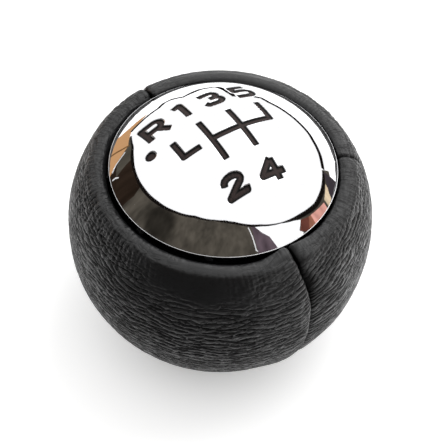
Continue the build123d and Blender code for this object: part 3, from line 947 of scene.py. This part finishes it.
# azimuth in degrees from the front of the car to its right, lower edges of the tent and its dark hem
tentEdge = np.array([
    (93, -6, -6), (97, 6, 4), (110, 10, 6), (123, 15, 11), (138, 24, 20), (157, 33, 32), (175, 42, 40),
    (192, 48, 46), (201, 51, 49), (213, 53, 51), (227, 53, 52), (252, 51, 49), (275, 44, 42), (294, 37, 34),
    (312, 29, 26), (328, 21, 19), (340, 15, 12), (348, 10, 8), (357, 0, -1), (359, -6, -6), (453, -6, -6)])
# what the plate mirrors of the room: colour, strength, and an outline of azimuths and elevations
roomCards = {
    "greyWall": ("#4e4a42", 1.0, (
        (355, 2), (346, 11), (338, 16), (335, 12), (336, -1), (345, 2))),
    "brownDoor": ("#2c221b", 1.0, (
        (332, 2), (339, 13), (326, 21), (315, 26), (311, 19), (311, 5), (330, -3))),
    "mauveCurtain": ("#5e5158", 1.0, (
        (185, 44), (181, 42), (177, 36), (172, 30), (169, 17), (178, 18), (186, 22))),
    "whiteWall": ("#ffffff", 1.3, (
        (141, 21), (157, 33), (176, 41), (181, 42), (177, 36), (172, 30), (169, 17), (149, 12), (145, 13),
        (147, 17), (144, 19))),
    "redChair": ("#6e4137", 1.0, ((141, 21), (134, 16), (134, 8), (141, 10), (147, 16))),
    "orangeChair": ("#966450", 1.0, ((134, 16), (131, 14), (131, 5), (136, 7), (140, 10))),
    "salmonChair": ("#e3a698", 1.0, ((132, 15), (117, 6), (118, 0), (129, 4), (133, 8))),
    "creamBoard": ("#f2dbb9", 1.0, ((105, 5), (108, -2), (116, -1), (115, 6))),
}
nearCards = {
    "tanBoard": ("#d2a172", 1.0, (
        (368, -5), (359, -9), (356, -13), (355, -20), (352, -19), (346, -15), (338, -10), (330, -5),
        (335, -2), (340, 2), (345, 4), (351, 0), (356, -3), (361, -3))),
    "darkShelf": ("#413b40", 1.0, ((103, 5), (103, -7), (107, -7), (116, -2), (114, 1), (109, 4))),
    "doorFoot": ("#2c221b", 1.0, ((337, 0), (330, -5), (324, -9), (314, -6), (312, 0), (322, 2))),
}
# dark and bright lines: colour, width in degrees, radius, and points along the line
lineCards = {
    "windowEdge": ("#ffffff", 0.9, "tentRadius", ((188, 44), (187, 36), (187, 25), (183, 21))),
    "boardEdge": ("#7d5d3c", 1.2, "nearRadius", ((345, 5), (344, -1), (344, -13))),
    "boardLight": ("#ffffff", 0.8, "nearRadius", ((331, -3), (335, -1), (337, 1), (341, 4))),
    "doorLight": ("#ffffff", 0.8, "nearRadius", ((326, -2), (326, 1), (325, 4))),
    "paperBack": ("#14110f", 2.4, "nearRadius", (
        (403, 8), (400, 1), (398, -5), (396, -10), (393, -9), (390, -8), (386, -4), (382, -1), (378, -5),
        (375, -5), (371, -2), (361, -2), (355, -3))),
    "paperSide": ("#14110f", 3.0, "nearRadius", (
        (50, 1), (53, -1), (57, 1), (66, 1), (80, 1), (84, 2), (93, 3), (97, 4), (102, 5))),
}


def spherePoints(azimuths, rises, radius):
    # degrees of azimuth and elevation to points on a sphere about the cap
    rise = np.radians(np.asarray(rises, float))
    turn = np.broadcast_to(np.radians(np.asarray(azimuths, float)), rise.shape)
    points = np.stack([np.cos(rise) * np.sin(turn), np.cos(rise) * np.cos(turn), np.sin(rise)], -1)
    return radius * points.reshape(-1, 3) + [0, 0, stageShape["eyeHeight"]]


def sphereCard(azimuths, lowEdge, highEdge, radius, rows):
    # a patch of a sphere between two edges given over azimuth
    share = np.linspace(0, 1, rows)[:, None]
    rise = np.asarray(lowEdge) + share * (np.asarray(highEdge) - np.asarray(lowEdge))
    return spherePoints(azimuths, rise, radius), gridFaces(rows, len(azimuths), False)


def outlineCard(outline, radius):
    # a patch of a sphere inside an outline
    azimuths, rises = np.array(outline, float).T
    return spherePoints(azimuths, rises, radius), np.arange(len(rises))[None, :]


def lineCard(line, width, radius):
    # a band on a sphere, half its width to each side of a line
    line = np.array(line, float)
    along = np.gradient(line, axis=0)
    aside = np.stack([-along[:, 1], along[:, 0]], 1) / np.hypot(*along.T)[:, None] * width / 2
    azimuths, rises = np.vstack([line + aside, line - aside]).T
    return spherePoints(azimuths, rises, radius), gridFaces(2, len(line), False)


def streakedLevel(tree, place, level, uneven):
    # a level that rises and falls by a share of itself in upright streaks, as shelves and curtains do
    shadedLines = addNode(tree, "Mapping", {"Vector": place, "Scale": (1, 1, stageShape["streakRatio"])})
    streak = sizedNoise(tree, shadedLines.outputs[0], stageShape["streakWidth"])
    return mapRange(tree, streak, noiseLow, noiseHigh, level * (1 - uneven), level * (1 + uneven))


glowCards = []


def glowCard(name, points, faces, colour, strength=1.0, uneven=0.0, lights=False):
    # a glowing card that shows in the plate and in the leather's sheen, and lights the object if asked
    material, tree = newMaterial(name)
    if uneven:
        strength = streakedLevel(tree, addNode(tree, "TexCoord").outputs["Object"], strength, uneven)
    glow = addNode(tree, "Emission", {"Color": toLinear(colour), "Strength": strength})
    addNode(tree, "OutputMaterial", {"Surface": glow.outputs[0]})
    card = addMesh(name, points, faces.tolist(), material)
    card.visible_camera = card.visible_shadow = card.visible_transmission = False
    card.visible_diffuse = lights
    glowCards.append(card)


s = stageShape
turnSteps, riseSteps = s["tentSteps"]
tentTurn = np.linspace(tentEdge[0, 0], tentEdge[-1, 0], turnSteps)
tentLow, hemLow = (np.interp(tentTurn, tentEdge[:, 0], tentEdge[:, column]) for column in (1, 2))
tentHigh = np.full(tentTurn.shape, s["tentTop"])
tent = sphereCard(tentTurn, tentLow, tentHigh, s["tentRadius"], riseSteps)
glowCard("tentCard", *tent, "#ffffff", s["tent"], lights=True)
hung = (tentTurn > s["hemTurns"][0]) & (tentTurn < s["hemTurns"][1])
hem = sphereCard(tentTurn[hung], hemLow[hung], tentLow[hung], s["tentRadius"] * s["hemAt"], s["hemRows"])
glowCard("tentHem", *hem, s["hem"], lights=True)
softBox = sphereCard(*softBoxEdge, s["tentRadius"] * s["softBoxAt"], s["softBoxRows"])
glowCard("softBox", *softBox, "#ffffff", s["softBox"], lights=True)
sheenShadeCard = sphereCard(*sheenShadeEdge, s["nearRadius"] * s["sheenShadeAt"], s["sheenShadeRows"])
glowCard("sheenShadeCard", *sheenShadeCard, s["sheenShadeCard"])
sheetTurn = np.radians(np.linspace(*s["sheetTurns"], s["sheetSteps"]))
sheetReach = np.array(s["sheetReach"])[:, None]
sheetHeight = np.full((2, len(sheetTurn)), s["sheetHeight"])
points = np.stack([sheetReach * np.sin(sheetTurn), sheetReach * np.cos(sheetTurn), sheetHeight], -1)
glowCard("sheenGlowCard", points.reshape(-1, 3), gridFaces(2, len(sheetTurn), False), "#ffffff", s["sheenGlow"])
for cards, reach in ((roomCards, s["tentRadius"] * s["roomAt"]), (nearCards, s["nearRadius"])):
    for step, (name, (colour, strength, outline)) in enumerate(cards.items()):
        card = outlineCard(outline, reach * (1 - s["cardStep"] * step))
        uneven = s["uneven"] if reach > s["nearRadius"] and strength <= 1 else 0
        glowCard(name, *card, colour, strength, uneven)
for step, (name, (colour, width, reach, line)) in enumerate(lineCards.items()):
    card = lineCard(line, width, s[reach] * (s["lineAt"] - s["cardStep"] * step))
    glowCard(name, *card, colour)

paper, tree = newMaterial("whitePaper")
path = addNode(tree, "LightPath").outputs
viewGlow = calculate(tree, "MULTIPLY", path["Is Camera Ray"], s["paperGlow"])
glowLevel = calculate(tree, "MULTIPLY_ADD", path["Is Glossy Ray"], s["paperGloss"], viewGlow)
matte = addNode(tree, "BsdfDiffuse", {"Color": toLinear(s["paper"])})
lift = addNode(tree, "Emission", {"Strength": glowLevel})
both = addNode(tree, "AddShader", {0: matte.outputs[0], 1: lift.outputs[0]})
addNode(tree, "OutputMaterial", {"Surface": both.outputs[0]})
floorTurn = np.linspace(0, 2 * math.pi, s["floorSteps"] + 1)[:-1]
floorRings = np.array(s["floorRings"])[:, None]
floorLevel = np.full((len(floorRings), len(floorTurn)), -s["floorDrop"])
floorPoints = np.stack([floorRings * np.cos(floorTurn), floorRings * np.sin(floorTurn), floorLevel], -1)
floorFaces = gridFaces(len(floorRings), len(floorTurn), True)
floor = addMesh("paperFloor", floorPoints.reshape(-1, 3), floorFaces.tolist(), paper)

world = bpy.data.worlds.new("studio")
world.use_nodes = True
tree = world.node_tree
tree.nodes.clear()
path = addNode(tree, "LightPath").outputs
direction = addNode(tree, "TexCoord").outputs["Generated"]
recessTurn, recessRise = np.radians(s["recess"])
toRecess = (math.cos(recessRise) * math.sin(recessTurn), math.cos(recessRise) * math.cos(recessTurn),
            math.sin(recessRise))
facing = addNode(tree, "VectorMath", {0: direction, 1: toRecess}, operation="DOT_PRODUCT").outputs["Value"]
darkReach, lightReach = np.cos(np.radians(s["recessReach"])).tolist()
recess = mapRange(tree, facing, lightReach, darkReach, 1.0, s["recessLevel"], "SMOOTHSTEP")
roomLevel = calculate(tree, "MULTIPLY", streakedLevel(tree, direction, 1.0, s["uneven"]), recess)
room = addNode(tree, "Background", {"Color": toLinear(s["room"]), "Strength": roomLevel})
white = addNode(tree, "Background", {"Color": toLinear("#ffffff"), "Strength": 1.0})
viewed = addNode(tree, "MixShader", {0: path["Is Camera Ray"], 1: room.outputs[0], 2: white.outputs[0]})
addNode(tree, "OutputWorld", {"Surface": viewed.outputs[0]})
bpy.context.scene.world = world
print("stage with", len(glowCards), "cards")

# Camera, at the picture's viewing angle
cameraShape = {
    "azimuth": -40.0,
    "elevation": 51.89,
    "roll": 3.76,
    "distance": 250.0,
    "focalPixels": 1504.0,
    "aimPixel": (219.9, 221.0),  # where the ball's lower middle shows
    "sensor": 36.0,
    "nearClip": 10.0,
}
v = cameraShape
turn, lift, roll = (math.radians(v[key]) for key in ("azimuth", "elevation", "roll"))
back = Vector((math.sin(turn) * math.cos(lift), -math.cos(turn) * math.cos(lift), math.sin(lift)))
level = Vector((math.cos(turn), math.sin(turn), 0))
upright = back.cross(level)
right = math.cos(roll) * level + math.sin(roll) * upright
up = math.cos(roll) * upright - math.sin(roll) * level
cameraData = bpy.data.cameras.new("camera")
cameraData.sensor_width = v["sensor"]
cameraData.lens = v["focalPixels"] / imageSize * v["sensor"]
cameraData.shift_x = (imageSize / 2 - v["aimPixel"][0]) / imageSize
cameraData.shift_y = (v["aimPixel"][1] - imageSize / 2) / imageSize
cameraData.clip_start = v["nearClip"] * mm
camera = bpy.data.objects.new("camera", cameraData)
place = (Vector((0, 0, lowerCentre)) + back * v["distance"]) * mm
camera.matrix_world = Matrix.Translation(place) @ Matrix((right, up, back)).transposed().to_4x4()
bpy.context.scene.collection.objects.link(camera)
bpy.context.scene.camera = camera
bpy.context.scene.view_settings.view_transform = "Standard"
print("camera lens", round(cameraData.lens, 1), "mm")
